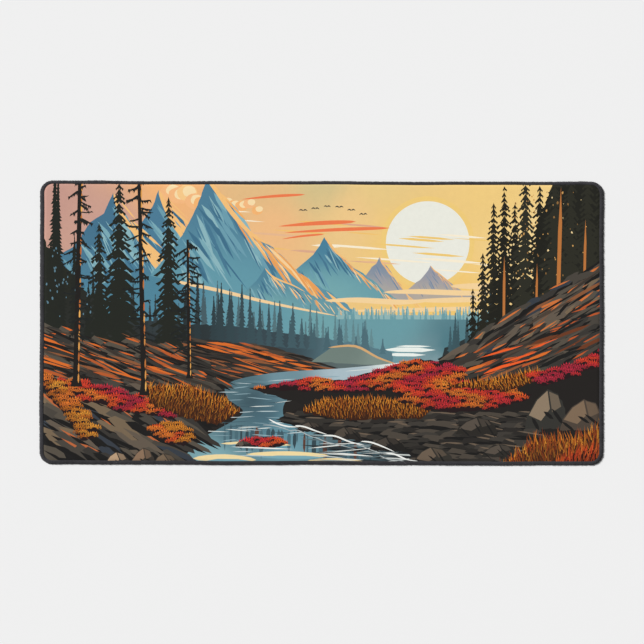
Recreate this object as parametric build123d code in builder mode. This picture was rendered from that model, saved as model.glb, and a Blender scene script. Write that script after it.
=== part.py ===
from build123d import *
import os

os.makedirs("parts", exist_ok=True)

# A large stitched-edge desk mat, in millimetres. The origin is the centre of its
# underside, +X runs along its length to the right, +Y towards the back of the desk.

# Driving dimensions of the finished mat, measured over the stitching
mat_length = 797.0
mat_width = 401.0
corner_radius = 18.0

# The laminate, from the bottom up
rubber_thickness = 2.45
film_thickness = 0.10
cloth_thickness = 0.45

# The overlocked edge: the layer of thread, how deep it presses into the knit, and how
# far it bites in over the mat
thread_thickness = 0.40
thread_press = 0.15
needle_line_width = 0.60
bite_sides = 5.7
bite_front = 5.3
bite_back = 4.3
thread_rounding = 0.30

# Heights above the desk
rubber_top = rubber_thickness
film_top = rubber_top + film_thickness
cloth_top = film_top + cloth_thickness
border_top = cloth_top - thread_press
threads_meet = border_top / 2

# The trimmed edge of the laminate, which the threads wrap
cut_length = mat_length - 2 * thread_thickness
cut_width = mat_width - 2 * thread_thickness
cut_radius = corner_radius - thread_thickness

# The needle line is the inner edge of the stitched band. It isn't centred on the mat,
# because the machine took a narrower bite along the back than along the front.
needle_length = mat_length - 2 * bite_sides
needle_width = mat_width - bite_front - bite_back
needle_shift = (bite_front - bite_back) / 2
needle_radius = corner_radius - bite_front


def mat_outline(mode=Mode.ADD):
    """The finished mat, over the stitching."""
    RectangleRounded(mat_length, mat_width, corner_radius, mode=mode)


def cut_outline(mode=Mode.ADD):
    """The trimmed laminate, inside the threads."""
    RectangleRounded(cut_length, cut_width, cut_radius, mode=mode)


def needle_outline(outwards=0.0, mode=Mode.ADD):
    """The inside of the stitched band, or the same line moved outwards."""
    with Locations((0, needle_shift)):
        RectangleRounded(
            needle_length + 2 * outwards,
            needle_width + 2 * outwards,
            needle_radius + outwards,
            mode=mode,
        )


# Natural rubber foam. Its field rests on the desk, and its border is pressed up by the
# thickness of the thread beneath it.
with BuildPart() as rubber_base:
    with BuildSketch(Plane.XY.offset(thread_thickness)):
        cut_outline()
    extrude(amount=rubber_top - thread_thickness)
    with BuildSketch():
        needle_outline()
    extrude(amount=thread_thickness)
rubber_base.part.label = "rubber_base"

# Hot-melt film, sealed between the rubber and the cloth that it bonds
with BuildPart() as bonding_film:
    with BuildSketch(Plane.XY.offset(rubber_top)):
        cut_outline()
    extrude(amount=film_thickness)
bonding_film.part.label = "bonding_film"

# Printed polyester knit, the face that the keyboard and the mouse stand on. The seam
# presses its border down, so the clear field is a face of its own.
with BuildPart() as printed_cloth:
    with BuildSketch(Plane.XY.offset(film_top)):
        cut_outline()
    extrude(amount=cloth_thickness - thread_press)
    with BuildSketch(Plane.XY.offset(border_top)):
        needle_outline()
    extrude(amount=thread_press)
printed_cloth.part.label = "printed_cloth"

# The needle thread: a closed line of short stitches along the inside of the band
with BuildPart() as needle_thread:
    with BuildSketch(Plane.XY.offset(border_top)):
        needle_outline(outwards=needle_line_width)
        needle_outline(mode=Mode.SUBTRACT)
    extrude(amount=thread_thickness)
needle_thread.part.label = "needle_thread"

# The upper looper thread covers the cloth from the needle line outwards and turns down
# over the edge, to half the height of the border.
with BuildPart() as upper_looper_thread:
    with BuildSketch(Plane.XY.offset(border_top)):
        mat_outline()
        needle_outline(outwards=needle_line_width, mode=Mode.SUBTRACT)
    extrude(amount=thread_thickness)
    with BuildSketch(Plane.XY.offset(threads_meet)):
        mat_outline()
        cut_outline(mode=Mode.SUBTRACT)
    extrude(amount=border_top - threads_meet)
    band_top = upper_looper_thread.faces().sort_by(Axis.Z)[-1]
    fillet(band_top.outer_wire().edges(), thread_rounding)
upper_looper_thread.part.label = "upper_looper_thread"

# The lower looper thread does the same from below, and meets the upper one on the edge
with BuildPart() as lower_looper_thread:
    with BuildSketch():
        mat_outline()
        needle_outline(mode=Mode.SUBTRACT)
    extrude(amount=thread_thickness)
    with BuildSketch(Plane.XY.offset(thread_thickness)):
        mat_outline()
        cut_outline(mode=Mode.SUBTRACT)
    extrude(amount=threads_meet - thread_thickness)
    band_bottom = lower_looper_thread.faces().sort_by(Axis.Z)[0]
    fillet(band_bottom.outer_wire().edges(), thread_rounding)
lower_looper_thread.part.label = "lower_looper_thread"

export_step(rubber_base.part, "parts/rubber_base.step")
export_step(bonding_film.part, "parts/bonding_film.step")
export_step(printed_cloth.part, "parts/printed_cloth.step")
export_step(needle_thread.part, "parts/needle_thread.step")
export_step(upper_looper_thread.part, "parts/upper_looper_thread.step")
export_step(lower_looper_thread.part, "parts/lower_looper_thread.step")
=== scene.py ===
import math
import random

import bmesh
import bpy
import numpy as np
from mathutils.geometry import delaunay_2d_cdt
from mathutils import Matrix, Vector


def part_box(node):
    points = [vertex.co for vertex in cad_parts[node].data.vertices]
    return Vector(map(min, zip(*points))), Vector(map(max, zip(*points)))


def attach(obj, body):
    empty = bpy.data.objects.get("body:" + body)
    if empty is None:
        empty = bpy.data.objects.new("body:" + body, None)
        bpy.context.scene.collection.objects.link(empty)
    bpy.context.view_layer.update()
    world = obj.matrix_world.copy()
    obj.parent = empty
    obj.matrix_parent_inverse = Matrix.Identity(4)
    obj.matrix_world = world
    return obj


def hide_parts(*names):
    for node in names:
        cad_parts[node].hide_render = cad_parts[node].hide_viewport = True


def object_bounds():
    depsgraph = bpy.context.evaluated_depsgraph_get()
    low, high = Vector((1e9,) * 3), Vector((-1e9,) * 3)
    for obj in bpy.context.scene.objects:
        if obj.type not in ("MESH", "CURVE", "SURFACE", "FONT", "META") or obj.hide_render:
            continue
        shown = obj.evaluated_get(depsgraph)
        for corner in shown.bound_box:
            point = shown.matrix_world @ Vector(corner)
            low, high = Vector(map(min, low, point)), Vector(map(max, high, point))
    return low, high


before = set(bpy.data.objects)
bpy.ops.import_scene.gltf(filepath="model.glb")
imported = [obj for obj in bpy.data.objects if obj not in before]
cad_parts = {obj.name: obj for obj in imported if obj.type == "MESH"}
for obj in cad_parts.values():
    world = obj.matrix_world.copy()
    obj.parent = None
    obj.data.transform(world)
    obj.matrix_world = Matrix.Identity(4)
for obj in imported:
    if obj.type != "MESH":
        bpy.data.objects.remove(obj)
cad_low, cad_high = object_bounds()

# ---- Sizes ----
# Everything but the camera, the lights and the floor is worked out in millimetres
# and turned into metres as its mesh is made. x and y are counted from the mat's centre.
MM = 0.001
CORNER_RADIUS = 18.0
NEEDLE_LINE = 0.6          # width of the needle thread's line in the CAD solids
STITCH = 2.0               # one stitch along the edge
SEAM_OVERLAP = 30.0        # how far the seam's end runs on over its start
SEAM_START_X = -334.0      # where along the back edge the seam starts
BULGE_X = 368.0            # how far past the back left corner the trimming strayed outwards
PLY_TURN = 0.9             # length of one turn of a thread's two plies
WALE, COURSE = 0.55, 0.42  # the knit's columns and rows
LOOPER_ABOVE = 0.24        # the looper threads' middles, over the cloth and under the rubber
LOOPER_BELOW = 0.2
NEEDLE_SHARE = 0.97        # where across the seam the needle thread runs

half_x, half_y = cad_high.x / MM, cad_high.y / MM
needle_low, needle_high = (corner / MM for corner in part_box("needle_thread"))
film_low, film_high = (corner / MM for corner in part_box("bonding_film"))
field_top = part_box("printed_cloth")[1].z / MM
cloth_thick = field_top - film_high.z
film_thick = film_high.z - film_low.z
border_top = needle_low.z
thread_thick = needle_high.z - needle_low.z
bite_sides = half_x - needle_high.x + NEEDLE_LINE
bite_back = half_y - needle_high.y + NEEDLE_LINE
bite_front = half_y + needle_low.y + NEEDLE_LINE

core_x, core_y = half_x - CORNER_RADIUS, half_y - CORNER_RADIUS
quarter = math.pi / 2 * CORNER_RADIUS
# The four straight edges and the corner that follows each, clockwise from the back left:
# length, start, direction, corner centre, angle at which the corner starts
SIDES = (
    (2 * core_x, (-core_x, half_y), (1, 0), (core_x, core_y), 90),
    (2 * core_y, (half_x, core_y), (0, -1), (core_x, -core_y), 0),
    (2 * core_x, (core_x, -half_y), (-1, 0), (-core_x, -core_y), -90),
    (2 * core_y, (-half_x, -core_y), (0, 1), (-core_x, core_y), -180),
)
perimeter = 4 * (core_x + core_y + quarter)


def edge_point(s):
    """The point s mm along the mat's outline, and the outward direction there."""
    s %= perimeter
    for length, start, way, centre, angle in SIDES:
        if s <= length:
            return start[0] + way[0] * s, start[1] + way[1] * s, -way[1], way[0]
        s -= length
        if s <= quarter:
            a = math.radians(angle) - s / CORNER_RADIUS
            nx, ny = math.cos(a), math.sin(a)
            return centre[0] + CORNER_RADIUS * nx, centre[1] + CORNER_RADIUS * ny, nx, ny
        s -= quarter
    return edge_point(0.0)


def wander(s):
    """How far the edge strays outwards at s: trimming and sewing are never quite straight."""
    turn = 2 * math.pi * s / perimeter
    waves = 0.22 * math.sin(7 * turn + 1.3) + 0.16 * math.sin(13 * turn + 0.2)
    waves += 0.10 * math.sin(29 * turn + 2.1)
    bulge = 0.5 * math.exp(-(((s % perimeter) - BULGE_X - core_x) / 16) ** 2)
    return waves + bulge - 0.25


def bite(nx, ny):
    """How far the seam reaches in from the edge, on the side that faces (nx, ny)."""
    return bite_sides * nx * nx + (bite_back if ny > 0 else bite_front) * ny * ny


def seam_point(s, share):
    """A point inside the edge, share of the way from it to the needle line."""
    x, y, nx, ny = edge_point(s)
    out = wander(s) - share * bite(nx, ny)
    return x + nx * out, y + ny * out


def seam_share(x, y):
    """The share that seam_point takes, for any point near the edge. It's large far inside."""
    over_x, over_y = abs(x) - core_x, abs(y) - core_y
    if over_x > 0 and over_y > 0:
        far = math.hypot(over_x, over_y)
        nx, ny = math.copysign(over_x / far, x), math.copysign(over_y / far, y)
        inset = CORNER_RADIUS - far
    elif over_x > over_y:
        nx, ny, inset = math.copysign(1, x), 0, CORNER_RADIUS - over_x
    else:
        nx, ny, inset = 0, math.copysign(1, y), CORNER_RADIUS - over_y
    if inset > 3 * bite_sides:
        return 3.0
    s = 0.0
    for k, (length, start, way, centre, angle) in enumerate(SIDES):
        turned = math.radians(angle) - math.atan2(ny, nx)
        turned = (turned + math.pi) % (2 * math.pi) - math.pi
        if over_x > 0 and over_y > 0 and 0 <= turned <= math.pi / 2:
            return (inset + wander(s + length + turned * CORNER_RADIUS)) / bite(nx, ny)
        if (nx, ny) == (-way[1], way[0]):
            along = (x - start[0]) * way[0] + (y - start[1]) * way[1]
            return (inset + wander(s + along)) / bite(nx, ny)
        s += length + quarter
    return inset / bite(nx, ny)


# The laminate is foam, so the seam squeezes its border. Each row is a share of the bite,
# and there the height of the cloth's face and of the rubber's underside.
SQUEEZE = (
    (0.06, 1.15, 0.55),
    (0.12, 1.60, 0.50),
    (0.22, 2.12, 0.46),
    (0.36, 2.58, 0.43),
    (0.52, 2.82, 0.42),
    (0.76, 2.68, 0.42),
    (1.00, 2.38, 0.42),
    (1.14, 2.50, 0.20),
    (1.40, 2.88, 0.05),
    (1.75, field_top, 0.0),
)
SHARES, FACE_Z, UNDER_Z = (np.array(column) for column in zip(*SQUEEZE))


# ---- Materials ----
def colour(text):
    """An sRGB colour, as six hex digits, in linear light."""
    parts = [int(text[k : k + 2], 16) / 255 for k in (0, 2, 4)]
    return np.array([c / 12.92 if c < 0.04045 else ((c + 0.055) / 1.055) ** 2.4 for c in parts])


class Shader:
    """A node material around one Principled shader."""

    def __init__(self, name, base, roughness, **constants):
        self.material = bpy.data.materials.new(name)
        self.material.use_nodes = True
        self.tree = self.material.node_tree
        self.inputs = self.tree.nodes["Principled BSDF"].inputs
        self.inputs["Base Color"].default_value = (*colour(base), 1)
        self.inputs["Roughness"].default_value = roughness
        for socket, value in constants.items():
            self.inputs[socket.replace("_", " ")].default_value = value

    def feed(self, socket, value):
        if isinstance(value, bpy.types.NodeSocket):
            self.tree.links.new(value, socket)
        else:
            socket.default_value = value

    def node(self, kind, settings=None, **inputs):
        made = self.tree.nodes.new(kind)
        for name, value in (settings or {}).items():
            setattr(made, name, value)
        for name, value in inputs.items():
            self.feed(made.inputs[name.replace("_", " ")], value)
        return made

    def place(self):
        return self.node("ShaderNodeTexCoord").outputs["Object"]

    def attribute(self, name, output="Fac"):
        return self.node("ShaderNodeAttribute", {"attribute_name": name}).outputs[output]

    def noise(self, scale, detail=3.0):
        made = self.node("ShaderNodeTexNoise", Vector=self.place(), Scale=scale, Detail=detail)
        return made.outputs["Fac"]

    def bands(self, size_mm, direction):
        """Sine bands of one size in the surface's plane."""
        kind = {"wave_type": "BANDS", "bands_direction": direction, "wave_profile": "SIN"}
        scale = 2 * math.pi / 20 / (size_mm * MM)
        made = self.node("ShaderNodeTexWave", kind, Vector=self.place(), Scale=scale)
        return made.outputs["Fac"]

    def span(self, value, low, high, start=0.0, end=1.0):
        made = self.node("ShaderNodeMapRange", Value=value, From_Min=start, From_Max=end)
        made.inputs["To Min"].default_value = low
        made.inputs["To Max"].default_value = high
        return made.outputs["Result"]

    def maths(self, kind, a, b=0.0):
        made = self.node("ShaderNodeMath", {"operation": kind})
        self.feed(made.inputs[0], a)
        self.feed(made.inputs[1], b)
        return made.outputs[0]

    def mix(self, factor, a, b, blend="MIX"):
        made = self.node("ShaderNodeMix", {"data_type": "RGBA", "blend_type": blend})
        self.feed(made.inputs[0], factor)
        self.feed(made.inputs[6], a)
        self.feed(made.inputs[7], b)
        return made.outputs[2]

    def shade(self, base, factor):
        """A colour made lighter and darker by a grey factor near 1."""
        grey = self.node("ShaderNodeCombineColor", Red=factor, Green=factor, Blue=factor)
        return self.mix(1.0, base, grey.outputs[0], "MULTIPLY")

    def bump(self, height, depth_mm, normal=None):
        made = self.node("ShaderNodeBump", Height=height, Distance=depth_mm * MM)
        if normal:
            self.feed(made.inputs["Normal"], normal)
        self.feed(self.inputs["Normal"], made.outputs["Normal"])
        return made.outputs["Normal"]


def cloth_material():
    """Dye-sublimated polyester knit: the print, softened by a fine knit and its bloom, with painted shade
    in the knit's hollows.
    """
    made = Shader("printed_knit", "808080", 0.85, Sheen_Weight=0.03, Sheen_Roughness=0.5)
    made.inputs["Specular IOR Level"].default_value = 0.15
    knit = made.maths("MULTIPLY", made.bands(WALE, "X"), made.bands(COURSE, "Y"))
    mottle = made.noise(180.0)
    # Painted shade: the print is darkened a little in the knit's hollows and lightened on its loops, along
    # the same bands that make the bump.
    ink = made.shade(made.attribute("print", "Color"), made.span(knit, 0.95, 1.03))
    ink = made.shade(ink, made.span(mottle, 0.985, 1.015, 0.3, 0.7))
    made.feed(made.inputs["Base Color"], ink)
    made.feed(made.inputs["Roughness"], made.span(mottle, 0.78, 0.92))
    soft = made.bump(made.noise(420.0, 4.0), 0.05)
    made.bump(knit, 0.05, soft)
    return made.material


def thread_material(name, base):
    """Textured polyester thread: two plies twisted together, with a matte fuzz, and painted shade in the
    grooves between the plies.
    """
    made = Shader(name, base, 0.9, Sheen_Weight=0.12, Sheen_Roughness=0.6)
    made.inputs["Specular IOR Level"].default_value = 0.15
    along = made.maths("MULTIPLY", made.attribute("along"), 2 * math.pi / PLY_TURN)
    around = made.maths("MULTIPLY", made.attribute("around"), 2 * math.pi)
    twist = made.maths("SINE", made.maths("ADD", along, around))
    fuzz = made.noise(2600.0, 4.0)
    patches = made.noise(60.0)
    # Painted shade: the thread is darker in the grooves between its plies and lighter on their crowns,
    # following the same twist as the bump.
    tone = made.shade((*colour(base), 1), made.span(twist, 0.75, 1.2, -1, 1))
    tone = made.shade(tone, made.span(patches, 0.8, 1.25, 0.3, 0.7))
    made.feed(made.inputs["Base Color"], tone)
    made.feed(made.inputs["Roughness"], made.span(fuzz, 0.82, 0.98))
    plies = made.bump(twist, 0.08)
    made.bump(fuzz, 0.12, plies)
    return made.material


def rubber_material():
    """Black natural rubber foam: fine closed cells, and a dusty bloom in soft patches."""
    made = Shader("foam_rubber", "17171a", 0.7)
    cells = made.node("ShaderNodeTexVoronoi", Vector=made.place(), Scale=1900.0)
    bloom = made.noise(90.0, 5.0)
    dusty = made.span(bloom, 0.0, 1.0, 0.35, 0.7)
    tone = made.mix(dusty, (*colour("141416"), 1), (*colour("242427"), 1))
    made.feed(made.inputs["Base Color"], tone)
    made.feed(made.inputs["Roughness"], made.span(bloom, 0.62, 0.85, 0.3, 0.7))
    made.bump(cells.outputs["Distance"], 0.06)
    return made.material


def film_material():
    """Hot-melt adhesive film, cloudy where it has bonded less."""
    made = Shader("hot_melt_film", "d8d5cb", 0.45)
    cloud = made.noise(70.0, 4.0)
    cloudy = made.span(cloud, 0.0, 1.0, 0.3, 0.7)
    tone = made.mix(cloudy, (*colour("cbc7ba"), 1), (*colour("e4e2da"), 1))
    made.feed(made.inputs["Base Color"], tone)
    made.feed(made.inputs["Roughness"], made.span(cloud, 0.35, 0.6))
    made.bump(cloud, 0.02)
    return made.material


# ---- Meshes ----
def mesh_object(name, points, faces, material, slot, *replaced):
    """A smooth piece that rides on the mat, from points in millimetres."""
    mesh = bpy.data.meshes.new(name)
    mesh.from_pydata(np.asarray(points, float) * MM, [], faces)
    mesh.materials.append(material)
    mesh.shade_smooth()
    made = bpy.data.objects.new(name, mesh)
    bpy.context.scene.collection.objects.link(made)
    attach(made, "root")
    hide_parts(*replaced)
    return made


def thread(name, stations, material, slot, *replaced, sides=6):
    """A flattened thread along stations: (x, y, z, the way its flat side faces, width,
    thickness). It keeps the length along it and the turn around it for its material."""
    data = np.array([(*s[:3], *s[3], *s[4:]) for s in stations], float)
    centre, up, wide, thick = data[:, :3], data[:, 3:6], data[:, 6], data[:, 7]
    tangent = np.gradient(centre, axis=0)
    tangent /= np.linalg.norm(tangent, axis=1)[:, None] + 1e-9
    across = np.cross(tangent, up)
    across /= np.linalg.norm(across, axis=1)[:, None] + 1e-9
    up = np.cross(across, tangent)
    turns = np.arange(sides) / sides
    c, s = np.cos(2 * math.pi * turns), np.sin(2 * math.pi * turns)
    rings = centre[:, None] + across[:, None] * (c * wide[:, None] / 2)[..., None]
    rings = rings + up[:, None] * (s * thick[:, None] / 2)[..., None]
    count = len(centre)
    near = np.arange(count - 1)[:, None] * sides + np.arange(sides)
    far = np.arange(count - 1)[:, None] * sides + np.roll(np.arange(sides), -1)
    quads = np.stack([near, far, far + sides, near + sides], -1).reshape(-1, 4)[:, ::-1]
    last = (count - 1) * sides
    faces = quads.tolist()
    faces += [list(range(sides)), list(range(last, last + sides))[::-1]]
    made = mesh_object(name, rings.reshape(-1, 3), faces, material, slot, *replaced)
    steps = np.linalg.norm(np.diff(centre, axis=0), axis=1)
    along = np.repeat(np.concatenate([[0], np.cumsum(steps)]), sides)
    for label, values in (("along", along), ("around", np.tile(turns, count))):
        made.data.attributes.new(label, "FLOAT", "POINT").data.foreach_set("value", values)
    return made


def seam_lift(s):
    """How far the end of the seam is pushed out and up where it runs over its start."""
    t = min(max((s - perimeter + 3) / 6, 0), 1)
    return 0.4 * t * t * (3 - 2 * t)


def looper_stations(seed, heights, side):
    """The path of a looper thread: out over the border, round the edge and back for each
    stitch. heights gives its height for a share of the bite; side is 1 above, -1 below."""
    rng = random.Random(seed)
    legs = ((1.0, 0.12), (0.86, 0.21), (0.5, 0.25), (0.2, 0.23), (0.08, 0.17), (0.03, 0.38))
    legs += tuple((share, 1 - step) for share, step in legs[::-1])
    stations = []
    start = SEAM_START_X + core_x
    for k in range(int((perimeter + SEAM_OVERLAP) / STITCH)):
        slack, shift = rng.uniform(-0.05, 0.07), rng.uniform(-0.15, 0.15)
        for share, step in legs:
            run = (k + step) * STITCH + shift * (1 - share)
            lift = seam_lift(run)
            s = start + run + side * 0.5 * (1 - share)
            x, y = seam_point(s, share - slack * (1 - share))
            nx, ny = edge_point(s)[2:]
            lean = max(0.0, 1 - share / 0.25)
            z = np.interp(share, *heights) + side * (lift + slack) * (1 - lean)
            reach = lift * lean
            facing = (nx * lean, ny * lean, side * (1 - lean) + 0.01)
            narrow = 1 - 0.3 * (share > 0.9)
            width = rng.uniform(1.12, 1.28) * narrow
            z = max(z, (thread_thick * (1 - lean) + width * lean) / 2 + 0.05)
            stations.append((x + nx * reach, y + ny * reach, z, facing, width, thread_thick))
    return stations


def knot_stations():
    """The end of the seam: two small turns drawn tight, and a tail tucked along the edge."""
    s = SEAM_START_X + core_x + SEAM_OVERLAP
    stations = []
    for k in range(33):
        turn = k / 12
        wind = min(turn, 2.0) * 2 * math.pi
        spread = 0.62 if turn < 2 else 0.62 - 0.5 * (turn - 2)
        x, y = seam_point(s + 0.5 * turn + 4.5 * max(0, turn - 2), 0.42 - 0.12 * math.sin(wind))
        z = border_top + thread_thick + 0.45 + spread * 0.7 * math.cos(wind) - 0.5 * max(0, turn - 2)
        stations.append((x, y, z, (0.2, math.sin(wind), math.cos(wind)), 0.55, 0.45))
    return stations


def needle_stations():
    """The needle thread on the face: short dashes that dip where the needle went down."""
    rng = random.Random(5)
    stations = []
    start = SEAM_START_X + core_x
    needle_face = np.interp(NEEDLE_SHARE, SHARES, FACE_Z)
    for k in range(int((perimeter + SEAM_OVERLAP) / STITCH)):
        drift = rng.uniform(-0.02, 0.02)
        for step, rise in ((0.04, -0.12), (0.3, 0.30), (0.7, 0.30), (0.96, -0.12)):
            run = (k + step) * STITCH
            x, y = seam_point(start + run, NEEDLE_SHARE + drift)
            z = needle_face + rise + seam_lift(run) * 0.6
            stations.append((x, y, z, (0, 0, 1), 0.62, 0.4))
    return stations


def outward(face, points):
    """The face anticlockwise, ending with the edge that leaves its leftmost point, so that
    a crossing elsewhere in its outline can't turn it inside out."""
    k = min(range(len(face)), key=lambda i: tuple(points[face[i]]))
    face = face[k + 1 :] + face[: k + 1]
    (x0, y0), (x1, y1), (x2, y2) = (points[i] for i in (face[-2], face[-1], face[0]))
    if (x1 - x0) * (y2 - y1) < (y1 - y0) * (x2 - x1):
        face = face[-2::-1] + face[-1:]
    return face


def planar(loops, shapes=(), dots=()):
    """The region inside the first closed loop, cut along every loop and shape, with the
    dots as further points. Returns its points, its triangles, the topmost shape over each
    triangle (-1 for none), and for each given point, in order, the point that it became."""
    points, edges, faces = [], [], []
    for loop in loops:
        first, count = len(points), len(loop)
        points += loop
        edges += [(first + k, first + (k + 1) % count) for k in range(count)]
    faces.append(list(range(len(loops[0])))[::-1])
    for shape in shapes:
        first = len(points)
        points += shape
        faces.append(list(range(first, first + len(shape))))
    faces = [outward(face, points) for face in faces]
    points += dots
    cut = delaunay_2d_cdt(points, edges, faces, 0, 1e-4, True)
    verts, _, tris, from_verts, _, from_faces = cut
    kept = [(tri, max(owners) - 1) for tri, owners in zip(tris, from_faces) if 0 in owners]
    used = sorted({i for tri, _ in kept for i in tri})
    new = {old: k for k, old in enumerate(used)}
    became = {i: new[k] for k in used for i in from_verts[k]}
    triangles = [[new[i] for i in tri] for tri, _ in kept]
    return [tuple(verts[i]) for i in used], triangles, [top for _, top in kept], became


def rim_of(triangles):
    """The boundary of a patch of triangles, in order."""
    onward = {(a, b) for tri in triangles for a, b in zip(tri, tri[1:] + tri[:1])}
    after = {a: b for a, b in onward if (b, a) not in onward}
    rim = [next(iter(sorted(after)))]
    while after[rim[-1]] != rim[0]:
        rim.append(after[rim[-1]])
    return rim


def loops_inside(spacing=4.0):
    """Closed loops along the border, one for each row of SQUEEZE."""
    count = int(perimeter / spacing)
    return [[seam_point(perimeter * k / count, share) for k in range(count)] for share in SHARES]


def lamina(top, top_z, bottom, bottom_z):
    """A closed solid between two planar patches that share their outer loop. top is a
    patch from planar; bottom is the same, made on top's rim as its first loop."""
    points = [(x, y, z) for (x, y), z in zip(top[0], top_z)]
    points += [(x, y, z) for (x, y), z in zip(bottom[0], bottom_z)]
    shift = len(top[0])
    faces = list(top[1]) + [[i + shift for i in tri[::-1]] for tri in bottom[1]]
    rim = rim_of(top[1])
    below = [bottom[3][k] + shift for k in range(len(rim))]
    for k in range(len(rim)):
        j = (k + 1) % len(rim)
        faces.append([rim[k], below[k], below[j], rim[j]])
    return points, faces


def heights(points, rows):
    """The height of each point, by its share of the bite, from a column of SQUEEZE."""
    return [float(np.interp(seam_share(x, y), SHARES, rows)) for x, y in points]


def under(top):
    """A plain patch that closes a solid from below, on the rim of the patch above."""
    return planar([[top[0][i] for i in rim_of(top[1])]] + loops_inside()[1:])


def bonding_film():
    """The adhesive between cloth and foam, as even as both."""
    top = planar(loops_inside())
    bottom = under(top)
    upper = np.array(heights(top[0], FACE_Z)) - cloth_thick
    lower = np.array(heights(bottom[0], FACE_Z)) - cloth_thick - film_thick
    points, faces = lamina(top, upper, bottom, lower)
    return mesh_object("hot_melt_film", points, faces, film_material(), "bonding_film", "bonding_film")


def rubber_base():
    """The foam. Its underside is embossed all over with shallow six-sided cups that grip."""
    pitch, cup, floor, depth = 8.4, 3.3, 2.5, 0.35
    top = planar(loops_inside())
    rims, floors = [], []
    row_step = pitch * math.sqrt(3) / 2
    rows, columns = int(half_y / row_step), int(half_x / pitch)
    for row in range(-rows, rows + 1):
        for column in range(-columns - 1, columns + 1):
            x, y = (column + 0.5 * (row % 2)) * pitch, row * row_step
            if seam_share(x, y) * bite_sides < bite_sides * 1.5 + cup + 0.8:
                continue
            for ring, radius in ((rims, cup), (floors, floor)):
                turns = [math.pi / 6 + math.pi / 3 * k for k in range(6)]
                ring.append([(x + radius * math.cos(a), y + radius * math.sin(a)) for a in turns])
    edge = [top[0][i] for i in rim_of(top[1])]
    bottom = planar([edge] + loops_inside()[1:], rims + floors)
    lower = heights(bottom[0], UNDER_Z)
    for tri, owner in zip(bottom[1], bottom[2]):
        if owner >= len(rims):
            for i in tri:
                lower[i] = depth
    upper = np.array(heights(top[0], FACE_Z)) - cloth_thick - film_thick
    points, faces = lamina(top, upper, bottom, lower)
    made = mesh_object("foam_rubber_base", points, faces, rubber_material(), "rubber_base", "rubber_base")
    made.data.set_sharp_from_angle(angle=math.radians(15))
    return made


# ---- The print ----
# An invented mountain river at sunset in flat inks, the kind of picture that
# such mats carry. x and y are in millimetres from the mat's front left corner, and each
# shape covers those painted before it.
shapes, inks = [], []


def paint(points, ink):
    """Adds a shape, in one colour or in an ink that changes from place to place."""
    xs, ys = zip(*points)
    if max(xs) > 0 and min(xs) < 2 * half_x and max(ys) > 0 and min(ys) < 2 * half_y:
        shapes.append([(x - half_x, y - half_y) for x, y in points])
        inks.append(colour(ink) if isinstance(ink, str) else ink)


def cover(points, ink):
    """Adds a large shape, and drops the earlier ones that it hides."""
    region = [(x - half_x, y - half_y) for x, y in points]
    xs, ys = zip(*region)
    for k in range(len(shapes) - 1, -1, -1):
        if all(min(xs) < x < max(xs) and y < max(ys) and inside(region, x, y) for x, y in shapes[k]):
            del shapes[k], inks[k]
    paint(points, ink)


def wash(*stops):
    """An ink that changes over the print: each stop is a place and the colour there."""
    places = np.array([(x, y) for x, y, _ in stops], float)
    tints = np.array([colour(text) for _, _, text in stops])

    def ink(x, y):
        weight = (((places - (x, y)) ** 2).sum(1) + 60) ** -1.5
        return (weight[:, None] * tints).sum(0) / weight.sum()

    return ink


def between(a, b, t):
    """The ink a share t of the way from a to b."""
    return colour(a) * (1 - t) + colour(b) * t


def curve(points, steps=5):
    """A smooth line through the points (Catmull-Rom)."""
    p = [np.array(q, float) for q in (points[0], *points, points[-1])]
    line = []
    for a, b, c, d in zip(p, p[1:], p[2:], p[3:]):
        for t in np.arange(steps) / steps:
            bend = (2 * a - 5 * b + 4 * c - d) * t**2 + (3 * b - a - 3 * c + d) * t**3
            line.append(tuple(b + (c - a) * t / 2 + bend / 2))
    return [*line, tuple(p[-1])]


def brush(points, width, ink, steps=3, widest=0.5):
    """A brush stroke along a line: pointed at both ends, widest part of the way along."""
    line = curve(points, steps)
    power = math.log(0.5) / math.log(widest)
    left, right = [line[0]], []
    for k in range(1, len(line) - 1):
        (x0, y0), (x1, y1) = line[k - 1], line[k + 1]
        swell = math.sin(math.pi * (k / (len(line) - 1)) ** power) ** 0.6
        half = width / 2 * swell / (math.hypot(x1 - x0, y1 - y0) or 1)
        nx, ny = (y0 - y1) * half, (x1 - x0) * half
        left.append((line[k][0] + nx, line[k][1] + ny))
        right.append((line[k][0] - nx, line[k][1] - ny))
    paint([*left, line[-1], *right[::-1]], ink)


LEAF = [(-0.5, 0), (-0.22, 0.5), (0.18, 0.45), (0.5, 0), (0.24, -0.45), (-0.2, -0.4)]


def streak(x, y, length, tilt, width, ink):
    """A short straight stroke centred on a place, at an angle in degrees."""
    c, s = math.cos(math.radians(tilt)), math.sin(math.radians(tilt))
    ends = [(length * u, width * v) for u, v in LEAF]
    paint([(x + c * u - s * v, y + s * u + c * v) for u, v in ends], ink)


def rough(points, rng, step, amount):
    """A closed outline with a hand-cut, uneven edge."""
    out = []
    for (x0, y0), (x1, y1) in zip(points, points[1:] + points[:1]):
        count = max(1, int(math.hypot(x1 - x0, y1 - y0) / step))
        for k in range(count):
            shift = rng.uniform(-amount, amount) if k else 0
            out.append((x0 + (x1 - x0) * k / count + shift, y0 + (y1 - y0) * k / count + shift))
    return out


def blob(x, y, size, rng, corners=7, spike=0.3, flat=0.8):
    """An uneven round outline, flattened in height."""
    turn, points = rng.random() * 6.3, []
    for k in range(corners):
        a, r = turn + 2 * math.pi * k / corners, size * (1 - spike * rng.random())
        points.append((x + r * math.cos(a), y + flat * r * math.sin(a)))
    return points


def inside(region, x, y):
    """Whether a place is inside a closed outline."""
    hit = False
    for (x0, y0), (x1, y1) in zip(region, region[1:] + region[:1]):
        if (y0 > y) != (y1 > y) and x < x0 + (x1 - x0) * (y - y0) / (y1 - y0):
            hit = not hit
    return hit


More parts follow.
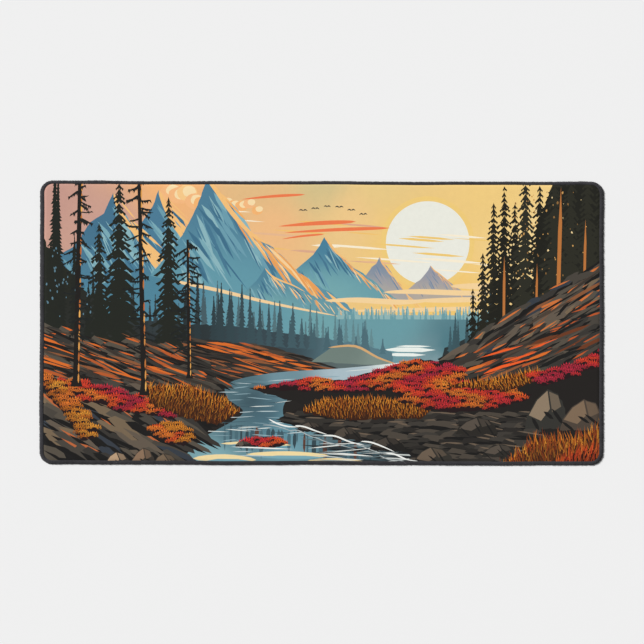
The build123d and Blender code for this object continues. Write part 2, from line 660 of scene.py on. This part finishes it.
def scatter(region, spacing, rng, flat=0.7):
    """Uneven places that fill a region, in rows from its top to its bottom."""
    xs, ys = zip(*region)
    for y in np.arange(max(ys), min(ys), -spacing * flat):
        for x in np.arange(min(xs) + spacing * rng.random(), max(xs), spacing):
            px = float(x) + spacing * rng.uniform(-0.35, 0.35)
            py = float(y) + spacing * flat * rng.uniform(-0.4, 0.4)
            if inside(region, px, py):
                yield px, py


def streaks(region, spacing, length, tilt, width, palette, rng, flat=0.7):
    """Strokes that follow a slope or a current."""
    for x, y in scatter(region, spacing, rng, flat):
        size, turn = length * rng.uniform(0.5, 1.3), tilt + rng.uniform(-7, 7)
        streak(x, y, size, turn, width * rng.uniform(0.5, 1.3), rng.choice(palette))


def conifer(x, y, height, width, ink, rng):
    """A spruce's outline: boughs that widen downwards, with ragged tips."""
    levels = max(4, int(height / 5))
    left, right = [], []
    for k in range(levels):
        t = (k + 1) / levels
        top = y + height * (1 - t)
        for side, edge in ((-1, left), (1, right)):
            reach = width / 2 * t**0.85 * rng.uniform(0.62, 1.15)
            edge.append((x + side * (0.5 + reach * 0.36), top + height / levels * 0.6))
            edge.append((x + side * reach * 0.7, top + height / levels * 0.1))
            edge.append((x + side * reach, top - height / levels * rng.uniform(0.1, 0.6)))
    paint([(x, y + height), *right, (x, y - 1), *left[::-1]], ink)


def forest(start, end, heights, width, tones, spacing, rng):
    """A row of spruces from one place to another, changing in height and colour."""
    (x0, y0), (x1, y1) = start, end
    count = int(abs(x1 - x0) / spacing)
    for k in range(count):
        t = (k + rng.uniform(-0.3, 1.3)) / count
        tall = (heights[0] + (heights[1] - heights[0]) * t) * rng.uniform(0.5, 1.1)
        slim = width * (0.35 + 0.65 * tall / max(heights)) * rng.uniform(0.85, 1.15)
        x, y = x0 + (x1 - x0) * t, y0 + (y1 - y0) * t
        conifer(x, y, tall, slim, between(*tones, t), rng)


def fir(x, y, height, width, ink, rng):
    """A big near fir: drooping boughs, uneven enough to let light through."""
    trunk = 0.8 + height * 0.008
    paint([(x - trunk, y), (x + trunk, y), (x, y + height)], ink)
    levels = int(height / 7)
    for k in range(levels):
        t = k / levels
        level = y + height * t + rng.uniform(-1.5, 1.5)
        reach = width / 2 * (1 - t) ** 0.7 + 1.5
        left, right = reach * rng.uniform(0.6, 1.2), reach * rng.uniform(0.6, 1.2)
        drop, thick = reach * rng.uniform(0.2, 0.5), rng.uniform(4, 6) + reach * 0.1
        bough = [(x - left, level - drop), (x - left * 0.5, level + 1), (x, level + thick)]
        bough += [(x + right * 0.5, level + 1), (x + right, level - drop)]
        for u in (0.75, 0.5, 0.25, 0, -0.25, -0.5, -0.75):
            fringe = thick * (0.4 if len(bough) % 2 else -0.1) + rng.uniform(0, 1.5)
            bough.append((x + (right if u > 0 else left) * u, level - drop * abs(u) - fringe))
        paint(bough, ink)


def depth_in(region, x, y):
    """How far a place is below the region's upper edge, from 0 to 1 at 30 mm and deeper."""
    return next((d for d in range(0, 30, 3) if not inside(region, x, y + d)), 30) / 30


def mound(x, y, size, ink, under, dark, rng):
    """One low bush: a dark dome with a fringe of short leaves, brightest at its top."""
    paint(blob(x, y, size, rng, 8, 0.25, 0.6), under)
    for a in np.linspace(0.1, 3.0, 8) + rng.uniform(-0.1, 0.1):
        for ring in (1, 0.55):
            up = ring * math.sin(a) * rng.uniform(0.8, 1.1)
            px, py = x + ring * size * math.cos(a), y + size * up * 0.62
            tone = between(ink, under, min(0.9, dark + 0.62 * (1 - up) * rng.uniform(0.7, 1.1)))
            long, half = size * rng.uniform(0.34, 0.5), size * 0.16
            tip = px + long * math.cos(a) * 0.5, py + long - half
            paint([(px - half, py - half), (px + half, py - half), tip], tone)


def shrubs(region, palette, rng, spacing=10.5, under="241618"):
    """A bank of low bushes in patches of one colour."""
    cover(rough(region, rng, 5, 1.5), under)
    for x, y in scatter(region, spacing, rng, 0.5):
        patch = 0.5 + 0.5 * math.sin(x / 14 + 1.7 * math.sin(y / 8))
        pick = int(min(patch * 0.8 + rng.random() * 0.2, 0.99) * len(palette))
        size = spacing * rng.uniform(0.55, 0.85)
        mound(x, y, size, palette[pick], under, 0.15 * depth_in(region, x, y), rng)


def grass(region, spacing, length, lean, palette, rng, under="3a1f12"):
    """Thin blades that lean one way and fan out, bright along the region's upper edge."""
    cover(rough(region, rng, 4, 2), under)
    for x, y in scatter(region, spacing, rng, 0.6):
        a, reach = math.radians(90 + lean + rng.uniform(-22, 22)), length * rng.uniform(0.6, 1.2)
        base = 0.9 + 0.045 * length
        tip = x + reach * math.cos(a), y + reach * math.sin(a)
        dark = 0.9 * depth_in(region, x, y) * rng.uniform(0.6, 1.1)
        paint([(x - base / 2, y), (x + base / 2, y), tip], between(rng.choice(palette), under, dark))


SLAB = [(-0.5, -0.1), (-0.36, 0.42), (0.05, 0.55), (0.42, 0.4), (0.55, 0.05), (0.1, -0.5)]


def slabs(region, size, angle, palette, rng, rim="d27840", rims=0.4, ground="1d1c1b"):
    """A slope of broken rock: leaning slabs, some with a rim of sunlight."""
    cover(rough(region, rng, 9, 1.6), ground)
    for x, y in scatter(region, size * 0.5, rng, 0.42):
        a = math.radians(angle + rng.uniform(-9, 9))
        long, deep = size * rng.uniform(0.7, 1.4), size * rng.uniform(0.16, 0.32)
        ux, uy = long * math.cos(a), long * math.sin(a)
        vx, vy = -deep * math.sin(a), deep * math.cos(a)

        def at(u, v):
            return x + ux * u + vx * v, y + uy * u + vy * v

        body = [at(u + rng.uniform(-0.07, 0.07), v + rng.uniform(-0.12, 0.12)) for u, v in SLAB]
        paint(body, rng.choice(palette))
        streak(*at(0, -0.4), long, math.degrees(a), deep * 0.5, "1a1918")
        if rng.random() < rims:
            streak(*at(0.05, 0.4), long * 0.9, math.degrees(a) - 3, deep * 0.26, rim)


def boulder(x, y, width, height, body, lit, rng):
    """A rock with a lit top left side, a duller right side and a dark foot."""
    dome = [(-0.5, 0), (-0.46, 0.36), (-0.3, 0.74), (-0.06, 1), (0.2, 0.88), (0.4, 0.5), (0.5, 0)]
    lean = rng.uniform(-0.12, 0.12)

    def at(u, v):
        return x + width * (u + lean * v), y + height * v

    paint(rough([at(u, v) for u, v in dome], rng, 5, 0.9), body)
    paint([at(-0.44, 0.34), at(-0.28, 0.72), at(-0.06, 0.96), at(0.04, 0.5), at(-0.14, 0.2)], lit)
    paint([at(-0.02, 0.94), at(0.2, 0.84), at(0.3, 0.56), at(0.1, 0.42)], between(body, lit, 0.5))
    for u, v, size in ((0.24, 0.3, 0.5), (-0.3, 0.12, 0.36), (0.0, 0.34, 0.3)):
        crack = at(u + rng.uniform(-0.06, 0.06), v)
        streak(*crack, width * size, rng.uniform(-60, -30), height * 0.1, "1d1c1b")


def flutes(ridge, down, count, reach, palette, rng, width):
    """Long streaks of rock and snow that run down a mountainside from its ridge."""
    line = curve(ridge, 8)
    for _ in range(count):
        x, y = rng.choice(line)
        a = down + rng.uniform(-9, 9)
        length, start = reach * rng.uniform(0.3, 0.8), reach * rng.uniform(0, 0.35)
        away = start + length / 2
        place = x + away * math.cos(math.radians(a)), y - 1 + away * math.sin(math.radians(a))
        streak(*place, length, a, width * rng.uniform(0.4, 1.3), rng.choice(palette))


def mountain(x, top, foot, left, right, tones, cold, warm, rng):
    """A peak that steepens upwards, its streaks warm where they face the sun."""
    fall = [0, 0.07, 0.17, 0.29, 0.41, 0.53, 0.66, 0.8, 1]
    rise, count = top - foot, int((left + right) / 5)
    sides = []
    for reach in (-left, right):
        jag = [(x + reach * t, top - rise * (t**0.78 + rng.uniform(-0.035, 0.035))) for t in fall]
        sides.append([(x, top), *jag[1:-1], (x + reach, foot)])
    outline = rough(sides[0][::-1] + sides[1][1:], rng, 6, 1.1)
    cover(outline, wash((x, top, tones[0]), (x, foot, tones[1])))
    flutes(sides[0][:5] + sides[1][1:4], -58, count, rise * 0.6, cold, rng, rise * 0.032)
    flutes(sides[1], -50, int(count * 0.7), rise * 0.5, warm, rng, rise * 0.02)
    brush(sides[1][:5], rise * 0.035, warm[0], 3, 0.4)


def bare_pine(x, y, height, width, lean, rng):
    """A tall pine: a trunk with a sunlit side, dead hooked branches and ragged tufts."""

    def stem(t, side=0.0):
        return x + lean * t + side * width, y + height * t

    trunk = ((0, -0.9), (0, 1.0), (0.05, 0.5), (1, 0.3), (1, -0.3), (0.05, -0.5))
    paint([stem(t, side) for t, side in trunk], "1f1c1a")
    for t in np.arange(0.04, 0.98, 0.05):
        if rng.random() < 0.8:
            px, py = stem(t, 0.34)
            streak(px, py, height * 0.048, 90, width * 0.28, between("b05a28", "eeb25c", rng.random()))
    for t in np.arange(0.22, 0.99, 0.018):
        (px, py), side = stem(t + rng.uniform(-0.01, 0.01)), rng.choice((-1, 1))
        reach, dip = side * rng.uniform(9, 34) * (1.1 - 0.6 * t), rng.uniform(-9, 3)
        line = [(px, py + 2), (px + reach * 0.5, py + dip * 0.6), (px + reach, py + dip * 1.5)]
        brush(line, rng.uniform(1.8, 3.4), "1f2322", 2, 0.35)
        for _ in range(int(rng.uniform(2, 14) * t)):
            u, fall = rng.uniform(0.15, 0.95), rng.uniform(2, 7)
            qx, qy = px + reach * u, py + dip * 1.5 * u + 1.5
            tip = qx + side * rng.uniform(-1, 4), qy - fall
            paint([(qx - 1.8, qy), (qx + 1.8, qy), tip], "1d201f")


sky = wash(
    (0, 380, "c4978a"), (90, 330, "c99d8e"), (190, 396, "f2b478"), (300, 396, "e2ba84"),
    (400, 398, "d2bf8a"), (330, 330, "eebb84"), (440, 350, "eec88a"), (480, 398, "e6c886"),
    (500, 320, "f0c97c"), (560, 250, "f2c872"), (640, 390, "efcb80"), (700, 300, "f3d595"),
)
AUTUMN = ("f0802e", "ee5f28", "e8462c", "d83338", "bf2c42")
GOLD = ("e08a2a", "eb9c36", "c9701f", "a85a1c")
ROCK = ("48433c", "554e44", "383531", "62574b", "75644f", "363c44")
GLOW = ("d96d2a", "b4592b", "8a5636", "3a332d", "4b3f35", "2b2825", "221e1b", "1c1a19")


def sky_scene():
    """The sun, thin cloud drawn across it, a few puffs of cumulus and a flock of birds."""
    rng = random.Random(11)
    paint(blob(548, 314, 66, rng, 72, 0, 1), "efcb7a")
    paint(blob(548, 314, 59, rng, 72, 0, 1), "eaeadf")
    for k in range(26):
        x, y = rng.uniform(250, 680), rng.uniform(-34, 22)
        near_sun = x >= 480
        ink = rng.choice(("f8ecd2", "efc872") if near_sun else ("f8ecd2", "e6b78e", "f0c06c", "dba98a"))
        streak(x, 366 - 0.1 * x + y, rng.uniform(40, 120), -4, rng.uniform(1.6, 4), ink)
    for k in range(12):
        x, y, size = 186 + 11 * k, 382 - 1.8 * k + rng.uniform(-8, 8), 17 - 0.8 * k
        paint(blob(x, y, size, rng, 18, 0.12), rng.choice(("f4b472", "f6c888", "f4b880")))
        paint(blob(x + 3, y + 2, size * 0.66, rng, 14, 0.12), "f7dcaa")
    bands = ((330, 378, 90, 4), (392, 340, 110, 6), (420, 331, 150, 5), (372, 322, 60, 3))
    for x, y, length, width in bands:
        brush([(x - length / 2, y - 3), (x, y + 1.5), (x + length / 2, y + 4)], width, "ec7a4c", 5, 0.6)
    for k in range(6):
        x, y, size = 372 + 17 * k, 366 - 5 * abs(k - 2) + rng.uniform(-4, 4), rng.uniform(5, 8)
        for side in (-1, 1):
            tip = x + side * size, y + size * rng.uniform(-0.1, 0.2)
            brush([(x, y), (x + side * size * 0.45, y + size * 0.32), tip], 1.9, "3f423c", 2, 0.35)


def mountains():
    """The peaks, from the farthest to the nearest, their foothill and the mist before them."""
    rng = random.Random(13)
    cold = ("8bb5bc", "7aa9b4", "6b9cac", "3f6e88", "46768f")
    warm = ("f3bf7a", "f0ac62", "e9a05a", "f6d09a")
    haze = ("8794a4", "a29ca2", "7488a0"), ("efb97a", "dfa878", "f0c890")
    mountain(552, 282, 232, 50, 72, ("9497a4", "b4a99c"), *haze, rng)
    mountain(480, 294, 232, 64, 50, ("7f8ea0", "aca6a0"), *haze, rng)
    mountain(402, 322, 234, 92, 104, ("487f99", "74a7ac"), cold, warm, rng)
    mountain(168, 388, 200, 130, 120, ("4b7a94", "4f8198"), cold, warm[:1], rng)
    mountain(104, 384, 200, 190, 140, ("44708a", "4f8198"), cold, warm[:1], rng)
    mountain(236, 404, 214, 116, 214, ("4d7c94", "649aa8"), cold, warm, rng)
    mountain(318, 278, 210, 70, 140, ("4f8196", "74a6aa"), cold, warm, rng)
    hill = [(60, 250), (150, 268), (250, 247), (340, 224), (440, 206), (440, 164), (60, 164)]
    paint(hill, wash((180, 250, "4f8398"), (300, 220, "6499a6"), (420, 205, "6fa2a8")))
    brush([(176, 262), (250, 247), (330, 228), (424, 210)], 5.0, "f2cf9c", 4, 0.35)
    mist = ((478, 232, 150), (570, 244, 170), (560, 220, 240), (590, 234, 120), (640, 254, 120))
    for x, y, length in mist:
        line = [(x + length * u, y + rng.uniform(-2, 2)) for u in (-0.5, -0.2, 0.2, 0.5)]
        brush(line, rng.uniform(6, 10), "f4d29c", 4)


def far_shore():
    """The lake's head between far woods, the wooded left shore and a bare knoll."""
    rng = random.Random(14)
    for y, spacing, tall, ink in ((212, 5.0, 12, "8fb4b4"), (203, 6.0, 20, "6a9ba3")):
        paint([(420, y), (690, y), (690, 150), (420, 150)], ink)
        forest((424, y), (690, y), (tall, tall), 6, (ink, ink), spacing, rng)
    lake = [(420, 206), (690, 206), (690, 118), (420, 118)]
    paint(lake, wash((500, 200, "6a9ba3"), (580, 170, "4f7a84"), (560, 140, "7d9aa0")))
    for x, y, length, width in ((522, 163, 76, 7), (516, 156, 60, 5), (528, 168, 50, 3)):
        streak(x, y, length, 0, width, "eaf0ea")
    forest((196, 184), (470, 168), (84, 34), 15, ("3f535b", "64898f"), 9, rng)
    band = [(90, 120), (90, 210), (190, 200), (290, 194), (400, 180), (498, 160), (498, 120)]
    cover(rough(band, rng, 5, 1.8), wash((200, 180, "2a3234"), (320, 175, "37474e"), (470, 160, "587a84")))
    forest((196, 178), (484, 158), (104, 36), 20, ("242b2d", "4f707a"), 9.4, rng)
    paint(rough([(566, 140), (572, 166), (640, 196), (700, 190), (700, 140)], rng, 5, 1.4), "2b3334")
    forest((574, 156), (660, 172), (50, 118), 17, ("3d5a62", "2a2f2e"), 6, rng)
    hill = [(150, 120), (150, 178), (250, 176), (330, 166), (400, 146), (512, 140), (500, 130), (250, 110)]
    cover(rough(hill, rng, 6, 1.2), wash((200, 160, "2b2a29"), (330, 150, "37332f"), (460, 136, "5b6a6a")))
    streaks(hill[:5] + [(420, 132), (250, 118)], 15, 56, -13, 3.8, GLOW, rng, 0.32)
    knoll = [(384, 146), (412, 166), (446, 168), (486, 148), (512, 140)]
    paint(rough(knoll, rng, 7, 0.8), wash((430, 165, "6f7f78"), (490, 145, "809088")))
    brush([(408, 166), (446, 168), (478, 152), (510, 141)], 3.4, "d3a874", 4, 0.4)


def river():
    """The water, with the woods' reflections, pale gleams and lines of current on it."""
    rng = random.Random(17)
    left = [(520, 146), (430, 137), (330, 130), (268, 116), (266, 94), (288, 74), (252, 50)]
    left += [(206, 26), (180, -6)]
    right = [(560, -6), (528, 20), (452, 38), (366, 54), (344, 78), (372, 104), (500, 136)]
    shape = curve(left) + curve(right)
    cover([(130, 118), (690, 118), (690, -6), (130, -6)], "24211f")
    cover(shape, wash(
        (510, 141, "dfe6e2"), (430, 130, "a9bcc4"), (340, 122, "6f8f9a"), (290, 112, "527079"),
        (300, 92, "3d555e"), (318, 74, "476672"), (270, 52, "54757f"), (340, 46, "5f8b99"),
        (250, 8, "7fa9b0"), (350, 14, "6f9ca8"), (440, 20, "3d565f"), (520, 4, "262d30"),
    ))
    for k in range(30):
        x, high = 262 + 7.4 * k + rng.uniform(-3, 3), 60 - 0.9 * k
        length = rng.uniform(16, 46)
        tone = "5e3f34" if rng.random() < 0.12 else rng.choice(("3f5a64", "4b6a74", "35484f"))
        streak(x, high - length / 2, length, 90, rng.uniform(3, 7), tone)
    for x, y, length, width in ((262, 9, 90, 10), (352, 15, 120, 7), (420, 5, 90, 8), (306, 30, 100, 5)):
        brush([(x - length / 2, y), (x, y + 1), (x + length / 2, y - 2)], width, "f0d9a2", 4)
        streak(x + 6, y - 4, length * 0.8, 0, width * 0.7, "78a8b4")
    reach = [(270, 114), (430, 134), (500, 140), (350, 104), (340, 76), (380, 50), (300, 8), (240, 44)]
    streaks(reach, 30, 34, 1, 1.2, ("d9dfda", "b9c9cc", "8fabb4", "3d5660"), rng, 0.22)
    dark_reach = [(390, 46), (500, 26), (540, -2), (400, -4)]
    streaks(dark_reach, 34, 70, 1, 3, ("1b1f21", "2c3538"), rng, 0.2)
    streaks(dark_reach, 30, 54, 1, 1.6, ("c9cecb", "8c9a9c", "e6e8e2", "5d6e73"), rng, 0.17)


def right_side():
    """The slope of leaning slabs, firs against the low sun, and a shrubby rocky bank."""
    rng = random.Random(19)
    paint(rough([(690, 150), (700, 330), (726, 402), (800, 402), (800, 150)], rng, 5, 2.2), "20201a")
    firs = (
        (612, 156, 96, 22), (626, 160, 140, 30), (641, 166, 208, 42), (656, 170, 226, 46),
        (671, 176, 196, 44), (686, 180, 240, 56), (706, 190, 206, 50), (728, 196, 236, 56),
        (750, 204, 222, 50), (774, 214, 216, 50), (794, 220, 200, 44),
    )
    for x, y, height, width in firs:
        fir(x, y, height, width, rng.choice(("2b2b22", "24231b", "1e1e18")), rng)
    for k in range(90):
        x, y = rng.triangular(654, 780, 676), rng.uniform(236, 396)
        glint = blob(x, y, rng.uniform(0.8, 2.0), rng, 5, 0.6, 1.5)
        paint(glint, rng.choice(("efd49c", "c99a58", "8f6a3c")))
    trunks = ((656, 176, 120, 4), (702, 190, 96, 3.4), (734, 198, 196, 6), (770, 224, 124, 4))
    for x, y, height, width in trunks:
        streak(x, y + height / 2, height, 90 - rng.uniform(0, 2), width, "b8733a")
    slope = [(562, 150), (610, 176), (672, 220), (728, 248), (800, 296), (800, 96), (650, 96)]
    slabs(slope, 42, 36, ROCK, rng, "cf7238", 0.3)
    streaks([(600, 160), (680, 214), (790, 280), (790, 180), (640, 130)], 30, 70, 34, 4, GLOW[1:], rng, 0.4)
    spit = [(296, 108), (380, 124), (430, 120), (530, 150), (640, 142), (800, 200), (800, -6)]
    spit += [(548, -6), (520, 18), (450, 34), (372, 50), (338, 66), (374, 84), (334, 98)]
    cover(rough(spit, rng, 7, 1.2), "221f1d")
    turf = [(560, 146), (640, 160), (700, 182), (800, 240), (800, 168), (700, 120), (600, 118)]
    slabs(turf, 40, 24, ROCK[:3], rng, "b9572a", 0.5)
    streaks(turf[:3] + [(736, 200), (724, 150), (700, 124)], 22, 56, 22, 4, GLOW + AUTUMN[1:2], rng, 0.36)
    scree = [(700, 184), (800, 240), (800, 172), (716, 130)]
    streaks(scree, 24, 60, 26, 5, ROCK[:3] + ("1c1c1b", "6b3a22"), rng, 0.36)
    bank = [(346, 62), (384, 78), (520, 74), (700, 74), (720, 8), (560, -6), (528, 18), (452, 38)]
    slabs(bank, 36, -4, ("2b2825", "33302c", "3e3a35", "4b443c"), rng, "6a5b4c", 0.25)
    heath = [(300, 107), (380, 122), (430, 118), (530, 148), (600, 138), (600, 112), (440, 104)]
    shrubs(heath, AUTUMN, rng)
    grass([(372, 76), (400, 92), (470, 96), (560, 84), (540, 66), (420, 64)], 4, 8, 6, GOLD, rng)
    heath = [(500, 112), (560, 118), (640, 112), (696, 100), (656, 82), (580, 74), (516, 88)]
    shrubs(heath, AUTUMN[:4], rng)
    grass([(560, 112), (640, 122), (704, 136), (716, 124), (660, 104)], 4, 9, 14, GOLD, rng)
    shrubs([(690, 130), (740, 137), (800, 165), (800, 147), (744, 122), (706, 114)], AUTUMN[2:], rng)
    boulders = (
        (716, 52, 60, 56, "34332f", "8c7a65"), (768, 50, 66, 44, "4c4239", "7d6853"),
        (384, 47, 40, 14, "211f1d", "564d44"), (436, 36, 44, 18, "282522", "4e463d"),
        (492, 20, 52, 20, "211f1d", "463f38"), (618, 44, 60, 24, "2a2723", "564d44"),
        (560, 0, 60, 26, "34312c", "6a5b4c"), (650, 12, 50, 18, "2c2a26", "564d44"),
    )
    for x, y, width, height, body, lit in boulders:
        boulder(x, y, width, height, body, lit, rng)
    shore = ((346, 58, 44), (384, 50, 46), (430, 37, 60), (478, 28, 48), (512, 13, 46), (540, 1, 36))
    ripples = ((0, 0, 2.2, "f0f1ec"), (-0.2, 5, 1.3, "aeb6b6"))
    for x, y, length in shore:
        for back, sink, thick, ink in ripples:
            line = []
            for t in (-0.5, -0.2, 0.15, 0.5):
                wave = rng.uniform(-3, 2)
                line.append((x + (back + t) * length, y - 0.26 * t * length + wave - sink))
            brush(line, thick, ink, 4, 0.4)
    meadow = [(650, -6), (700, 36), (760, 38), (800, 58), (800, -6)]
    grass(meadow, 4.6, 17, 4, GOLD[1:] + ("a8481c", "7a3418"), rng)
    meadow = [(716, -6), (750, 16), (800, 30), (800, -6)]
    grass(meadow, 4.4, 15, -8, ("c9461f", "a83a1e", "d0662a"), rng, "35150f")


def left_side():
    """Close spruces, a lit slope of rock and turf down to the water, and tall bare pines."""
    rng = random.Random(20)
    forest((64, 150), (196, 150), (150, 70), 22, ("232826", "363f42"), 10, rng)
    mass = [(-4, 110), (-4, 330), (20, 296), (60, 250), (110, 204), (192, 172), (180, 140)]
    cover(rough(mass, rng, 5, 2.0), wash((20, 280, "24261f"), (100, 190, "2a2c29"), (190, 170, "2c3336")))
    forest((0, 170), (100, 160), (290, 120), 34, ("21241f", "21241f"), 11, rng)
    firs = ((16, 150, 176, 46), (84, 134, 210, 50), (112, 124, 282, 66), (182, 124, 256, 60))
    for x, y, height, width in firs:
        fir(x, y, height, width, "22251f", rng)
    for k in range(46):
        x = rng.uniform(8, 80)
        paint(blob(x, rng.uniform(208, 330 - x), rng.uniform(0.8, 1.7), rng, 5, 0.4, 1.8), "5d7f8f")
    upper = [(-4, 196), (90, 176), (190, 166), (250, 134), (266, 110), (180, 96), (-4, 100)]
    slabs(upper, 36, -20, ROCK[:3] + ("33302c",), rng, "d46628", 0.42)
    streaks(upper, 24, 64, -20, 3.8, GLOW, rng, 0.36)
    lower = [(-4, 122), (130, 110), (200, 94), (254, 64), (226, 34), (188, -6), (-4, -6)]
    slabs(lower, 56, -30, ROCK, rng, "b9653a", 0.2)
    streaks([(60, 70), (200, 46), (180, 0), (40, 0)], 40, 60, -30, 11, ROCK[3:5] + ("1c1b1a",), rng, 0.5)
    shrubs([(14, 122), (60, 118), (120, 102), (196, 84), (190, 66), (120, 76), (30, 100)], AUTUMN, rng)
    heath = [(2, 128), (24, 122), (66, 74), (82, 44), (64, 34), (42, 64), (4, 108)]
    shrubs(heath, GOLD[:3] + AUTUMN[:1], rng)
    meadow = [(144, 112), (210, 112), (262, 92), (284, 74), (250, 56), (206, 66), (156, 86)]
    grass(meadow, 4, 9, -12, GOLD, rng)
    shrubs([(150, 56), (196, 58), (222, 44), (204, 26), (168, 38)], AUTUMN[:2] + GOLD[:1], rng)
    boulders = ((112, 38, 22, "b99b7c"), (146, 36, 28, "8a6f58"), (182, 40, 20, "76634f"))
    for x, width, height, lit in boulders:
        boulder(x, -4, width, height, "3a352f", lit, rng)
    islet = [(276, 28), (300, 38), (330, 40), (352, 30), (330, 24)]
    shrubs(islet, AUTUMN[1:4], rng)
    boulder(290, 25, 26, 9, "2c2926", "5c5349", rng)
    streak(314, 24, 90, -2, 2, "f0f1ec")
    bare_pine(212, 122, 196, 5.4, -3, rng)
    bare_pine(52, 110, 300, 9.0, 5, rng)
    bare_pine(148, 98, 320, 8.0, -8, rng)


for part_of_scene in (sky_scene, mountains, far_shore, river, right_side, left_side):
    part_of_scene()


GRID = 20                  # spacing of the plain points that the washes are read at, in mm
UNPRINTED = "e6e4de"       # the back of the cloth
THREAD_INK = "333236"


def merged(points, triangles, owners):
    """The same surface with fewer triangles: those of one flat ink that lie in one plane
    are joined, and cut up again."""
    mesh = bmesh.new()
    verts = [mesh.verts.new(point) for point in points]
    for triangle, owner in zip(triangles, owners):
        mesh.faces.new([verts[i] for i in triangle]).material_index = owner + 1
    mesh.normal_update()
    plain = [False] + [not callable(ink) for ink in inks]
    same = [e for e in mesh.edges if all(plain[f.material_index] for f in e.link_faces)]
    level = {"angle_limit": 0.02, "use_dissolve_boundaries": False, "delimit": {"MATERIAL"}}
    bmesh.ops.dissolve_limit(mesh, edges=same, verts=[], **level)
    spare = [v for v in mesh.verts if len(v.link_edges) == 2 and not v.is_boundary]
    bmesh.ops.dissolve_limit(mesh, edges=[], verts=spare, **level)
    bmesh.ops.triangulate(mesh, faces=mesh.faces[:])
    mesh.verts.index_update()
    points = [tuple(v.co) for v in mesh.verts]
    triangles = [[v.index for v in face.verts] for face in mesh.faces]
    owners = [face.material_index - 1 for face in mesh.faces]
    mesh.free()
    return points, triangles, owners


def printed_cloth():
    """The knit, its face cut along the print's shapes, with each corner's ink on it."""
    columns = np.arange(GRID / 2 - half_x, half_x, GRID)
    rows = np.arange(GRID / 2 - half_y, half_y, GRID)
    grid = [(float(x), float(y)) for x in columns for y in rows]
    flat, triangles, owners, _ = planar(loops_inside(), shapes, grid)
    first_of = {}
    for owner, ink in enumerate(inks):
        if not callable(ink):
            first_of.setdefault(tuple(ink), owner)
    owners = [k if k < 0 or callable(inks[k]) else first_of[tuple(inks[k])] for k in owners]
    raised = [(x, y, z) for (x, y), z in zip(flat, heights(flat, FACE_Z))]
    raised, triangles, owners = merged(raised, triangles, owners)
    top = [(x, y) for x, y, _ in raised], triangles
    bottom = under(top)
    lower = np.array(heights(bottom[0], FACE_Z)) - cloth_thick
    points, faces = lamina(top, [z for _, _, z in raised], bottom, lower)
    knit = cloth_material()
    made = mesh_object("printed_knit_cloth", points, faces, knit, "printed_cloth", "printed_cloth")
    corners = []
    for triangle, owner in zip(triangles, owners):
        ink = inks[owner] if owner >= 0 else sky
        for i in triangle:
            x, y, _ = raised[i]
            tint = ink(x + half_x, y + half_y) if callable(ink) else ink
            corners.append((*tint, 1))
    corners += [(*colour(UNPRINTED), 1)] * (len(made.data.loops) - len(corners))
    layer = made.data.color_attributes.new("print", "FLOAT_COLOR", "CORNER")
    layer.data.foreach_set("color", np.array(corners, np.float32).ravel())
    return made


cloth = printed_cloth()
bonding_film()
base = rubber_base()

charcoal = thread_material("charcoal_thread", THREAD_INK)
over = looper_stations(3, (SHARES, FACE_Z + LOOPER_ABOVE), 1)
beneath = looper_stations(4, (SHARES, UNDER_Z - LOOPER_BELOW), -1)
thread("upper_looper_stitches", over, charcoal, "edge_thread", "upper_looper_thread")
thread("lower_looper_stitches", beneath, charcoal, "edge_thread", "lower_looper_thread")
thread("needle_stitches", needle_stations(), charcoal, "edge_thread", "needle_thread")
thread("seam_end_knot", knot_stations(), charcoal, "edge_thread")

# ---- Camera, light and floor ----
LENS, SENSOR = 100.0, 36.0
MAT_SHARE = 0.8764         # share of the picture's width that the mat's length takes
AIM = (0.0005435, 0.001708)    # where the camera stands off the mat's centre, in such widths
TURN = 0.13                # degrees by which the mat lies askew in the picture
FLOOR_REACH = 6.0
WORLD_LIGHT = 0.19
KEY_LIGHT, KEY_ANGLE = 4.55, 22.0
KEY_TILT, KEY_TURN = -54.0, -33.0    # degrees: from the back left, high enough for soft shade

view_width = 2 * half_x * MM / MAT_SHARE
camera_data = bpy.data.cameras.new("camera")
camera_data.lens = LENS
camera_data.sensor_width = SENSOR
camera = bpy.data.objects.new("camera", camera_data)
height = view_width * LENS / SENSOR + field_top * MM
camera.location = (AIM[0] * view_width, AIM[1] * view_width, height)
camera.rotation_euler = (0, 0, math.radians(TURN))
bpy.context.scene.collection.objects.link(camera)
bpy.context.scene.camera = camera

floor_mesh = bpy.data.meshes.new("floor")
ends = (-FLOOR_REACH, FLOOR_REACH)
floor_mesh.from_pydata([(x, y, 0) for x in ends for y in ends], [], [(0, 2, 3, 1)])
floor = bpy.data.objects.new("floor", floor_mesh)
floor_shader = Shader("pale_floor", "ebebeb", 0.9)
floor_mesh.materials.append(floor_shader.material)
bpy.context.scene.collection.objects.link(floor)

world = bpy.data.worlds.new("studio")
world.use_nodes = True
world.node_tree.nodes["Background"].inputs["Color"].default_value = (1, 1, 1, 1)
world.node_tree.nodes["Background"].inputs["Strength"].default_value = WORLD_LIGHT
bpy.context.scene.world = world

key_data = bpy.data.lights.new("key", "SUN")
key_data.energy = KEY_LIGHT
key_data.angle = math.radians(KEY_ANGLE)
key = bpy.data.objects.new("key", key_data)
key.rotation_euler = (0, math.radians(KEY_TILT), math.radians(KEY_TURN))
bpy.context.scene.collection.objects.link(key)
bpy.context.scene.view_settings.view_transform = "Standard"
